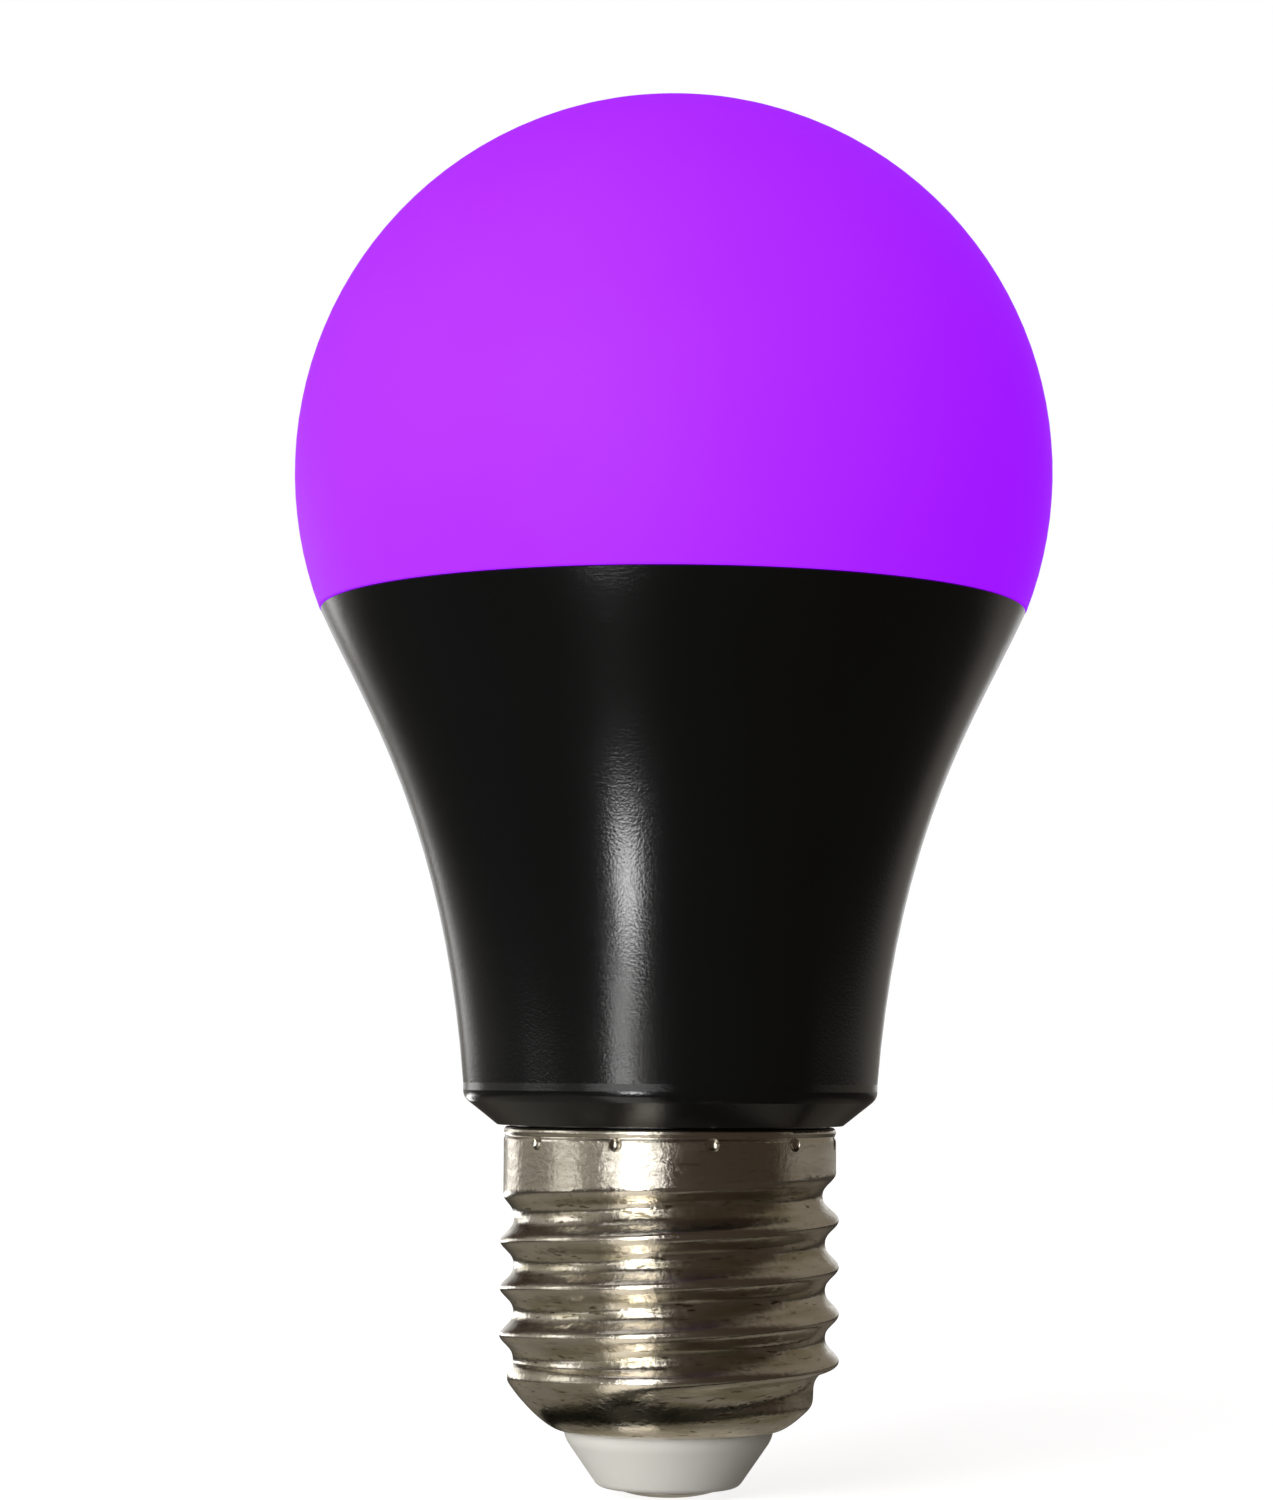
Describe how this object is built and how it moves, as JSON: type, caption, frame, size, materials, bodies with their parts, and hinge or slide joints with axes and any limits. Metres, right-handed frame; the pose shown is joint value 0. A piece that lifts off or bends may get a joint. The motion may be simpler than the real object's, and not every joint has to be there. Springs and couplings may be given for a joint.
{
  "type": "ultraviolet light bulb",
  "caption": "Round screw-base ultraviolet bulb with a frosted violet globe, a flared black housing, a nickel screw shell and a white insulated centre contact.",
  "frame": {"origin": "apex of the centre contact, on the bulb's axis", "axes": "+Z along the axis from the contact to the top of the globe; -Y towards the viewer of the picture; +X to the viewer's right"},
  "size_m": [0.06, 0.06, 0.11],
  "materials": {
    "violet_diffuser": "frosted, lit from within",
    "black_housing": "fine-grained satin",
    "nickel_shell": "bright drawn nickel plate",
    "white_insulator": "matte",
    "contact_metal": "dull"
  },
  "bodies": {
    "root": {"globe": "violet_diffuser", "housing": "black_housing", "screw_shell": "nickel_shell", "insulator": "white_insulator", "centre_contact": "contact_metal"}
  },
  "joints": []
}
